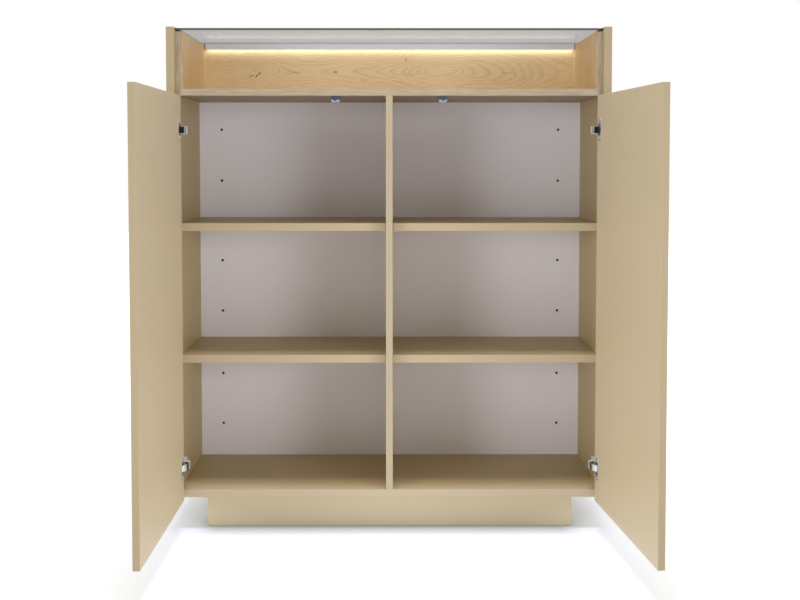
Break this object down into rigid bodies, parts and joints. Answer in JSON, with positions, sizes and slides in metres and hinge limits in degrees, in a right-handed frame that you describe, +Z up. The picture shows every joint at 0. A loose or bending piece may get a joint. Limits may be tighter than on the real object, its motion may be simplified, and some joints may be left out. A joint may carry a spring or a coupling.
{
  "type": "sideboard",
  "caption": "Tall sideboard with hinged doors over divided shelves, a recessed plinth and a lit oak display niche under a glass top.",
  "frame": {"origin": "on the floor under the middle of the carcass, at the underside of the middle glide", "axes": "+X to the right seen from the front, +Y into the cupboard, +Z up; both doors stand open"},
  "size_m": [1.2699, 1.0455, 1.42],
  "materials": {
    "lacquer": "matt beige lacquer on fibreboard",
    "oak": "oiled oak veneer",
    "back_board": "matt taupe thin board",
    "beech": "raw beech",
    "glass": "clear, faintly grey, ground edge",
    "black_seal": "matt black",
    "clear_pads": "clear soft plastic",
    "light_channel": "satin anodised",
    "light_cover": "opal",
    "light_tape": "white tape",
    "nickel": "nickel plated",
    "link_steel": "nickel plated, in the hinge's shade",
    "zinc_screws": "zinc plated",
    "glides": "matt dark",
    "latch_grey": "matt dark blue-grey",
    "latch_tip": "light grey"
  },
  "bodies": {
    "carcass": {"left_side_panel": "lacquer", "right_side_panel": "lacquer", "bottom_panel": "lacquer", "divider_panel": "lacquer", "back_panel": "back_board", "niche_back": "oak", "back_screws": "zinc_screws", "niche_floor": "oak", "niche_left_side": "oak", "niche_right_side": "oak", "glass_top": "glass", "glass_left_seal": "black_seal", "glass_right_seal": "black_seal", "glass_pads": "clear_pads", "light_profile": "light_channel", "light_diffuser": "light_cover", "light_tape": "light_tape", "upper_left_shelf": "lacquer", "upper_right_shelf": "lacquer", "lower_left_shelf": "lacquer", "lower_right_shelf": "lacquer", "shelf_pins": "nickel", "plinth_front": "lacquer", "plinth_back": "lacquer", "plinth_left_end": "lacquer", "plinth_right_end": "lacquer", "plinth_middle_rail": "lacquer", "plinth_glides": "glides", "carcass_dowels": "beech", "plate_screws": "nickel", "arm_screws": "nickel", "latch_screws": "zinc_screws", "left_upper_hinge_arm": "nickel", "left_upper_hinge_plate": "nickel", "left_lower_hinge_arm": "nickel", "left_lower_hinge_plate": "nickel", "left_latch_housing": "latch_grey", "right_upper_hinge_arm": "nickel", "right_upper_hinge_plate": "nickel", "right_lower_hinge_arm": "nickel", "right_lower_hinge_plate": "nickel", "right_latch_housing": "latch_grey"},
    "left_leaf": {"left_door": "lacquer", "left_upper_hinge_cup": "nickel", "left_lower_hinge_cup": "nickel", "left_cup_screws": "nickel"},
    "left_outer_links": {"left_upper_outer_link": "link_steel", "left_lower_outer_link": "link_steel"},
    "left_inner_links": {"left_upper_inner_link": "link_steel", "left_lower_inner_link": "link_steel"},
    "left_plunger": {"left_latch_plunger": "latch_tip"},
    "right_leaf": {"right_door": "lacquer", "right_upper_hinge_cup": "nickel", "right_lower_hinge_cup": "nickel", "right_cup_screws": "nickel"},
    "right_outer_links": {"right_upper_outer_link": "link_steel", "right_lower_outer_link": "link_steel"},
    "right_inner_links": {"right_upper_inner_link": "link_steel", "right_lower_inner_link": "link_steel"},
    "right_plunger": {"right_latch_plunger": "latch_tip"}
  },
  "joints": [
    {"name": "left_door_turn", "type": "hinge", "parent": "carcass", "child": "left_leaf", "pos_m": [-0.5975, -0.2245, 0], "axis": [0, 0, -1], "range_deg": [-90, 10]},
    {"name": "left_outer_links_turn", "type": "hinge", "parent": "carcass", "child": "left_outer_links", "pos_m": [-0.5975, -0.2245, 0], "axis": [0, 0, -1], "range_deg": [-36, 4]},
    {"name": "left_inner_links_turn", "type": "hinge", "parent": "carcass", "child": "left_inner_links", "pos_m": [-0.5975, -0.2245, 0], "axis": [0, 0, -1], "range_deg": [-73.8, 8.2]},
    {"name": "left_latch_press", "type": "slide", "parent": "carcass", "child": "left_plunger", "axis": [0, 1, 0], "range_m": [0, 0.003], "stiffness_N_per_m": 600, "springref_m": -0.003},
    {"name": "right_door_turn", "type": "hinge", "parent": "carcass", "child": "right_leaf", "pos_m": [0.5975, -0.2245, 0], "axis": [0, 0, 1], "range_deg": [-95, 5]},
    {"name": "right_outer_links_turn", "type": "hinge", "parent": "carcass", "child": "right_outer_links", "pos_m": [0.5975, -0.2245, 0], "axis": [0, 0, 1], "range_deg": [-38, 2]},
    {"name": "right_inner_links_turn", "type": "hinge", "parent": "carcass", "child": "right_inner_links", "pos_m": [0.5975, -0.2245, 0], "axis": [0, 0, 1], "range_deg": [-77.9, 4.1]},
    {"name": "right_latch_press", "type": "slide", "parent": "carcass", "child": "right_plunger", "axis": [0, 1, 0], "range_m": [0, 0.003], "stiffness_N_per_m": 600, "springref_m": -0.003}
  ],
  "couplings": [
    {"joint": "left_outer_links_turn", "follows": "left_door_turn", "ratio": 0.4},
    {"joint": "left_inner_links_turn", "follows": "left_door_turn", "ratio": 0.82},
    {"joint": "right_outer_links_turn", "follows": "right_door_turn", "ratio": 0.4},
    {"joint": "right_inner_links_turn", "follows": "right_door_turn", "ratio": 0.82}
  ]
}
